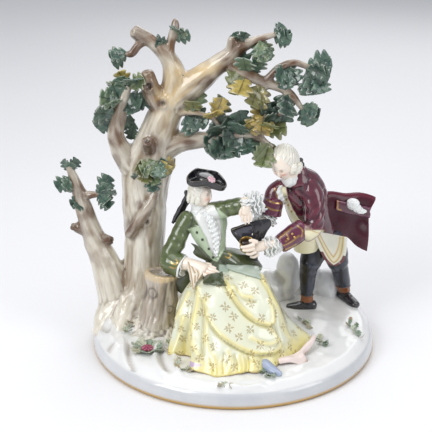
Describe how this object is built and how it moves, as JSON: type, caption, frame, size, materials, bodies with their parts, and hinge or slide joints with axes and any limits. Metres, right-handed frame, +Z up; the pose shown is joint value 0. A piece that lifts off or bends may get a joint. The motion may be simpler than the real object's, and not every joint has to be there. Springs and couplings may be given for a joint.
{
  "type": "porcelain figure group",
  "caption": "Porcelain group of a seated lady by a stump and a bowing gentleman with a small box, under an oak with a side trunk, on a round mound base.",
  "frame": {"origin": "centre of the round base's underside, on the surface that it stands on", "axes": "+Z up, +X to the viewer's right, +Y away from the viewer"},
  "size_m": [0.2912, 0.261, 0.3001],
  "materials": {
    "porcelain": "glossy transparent glaze over painted enamels, with gilt lines"
  },
  "bodies": {
    "root": {"porcelain_group": "porcelain"}
  },
  "joints": []
}
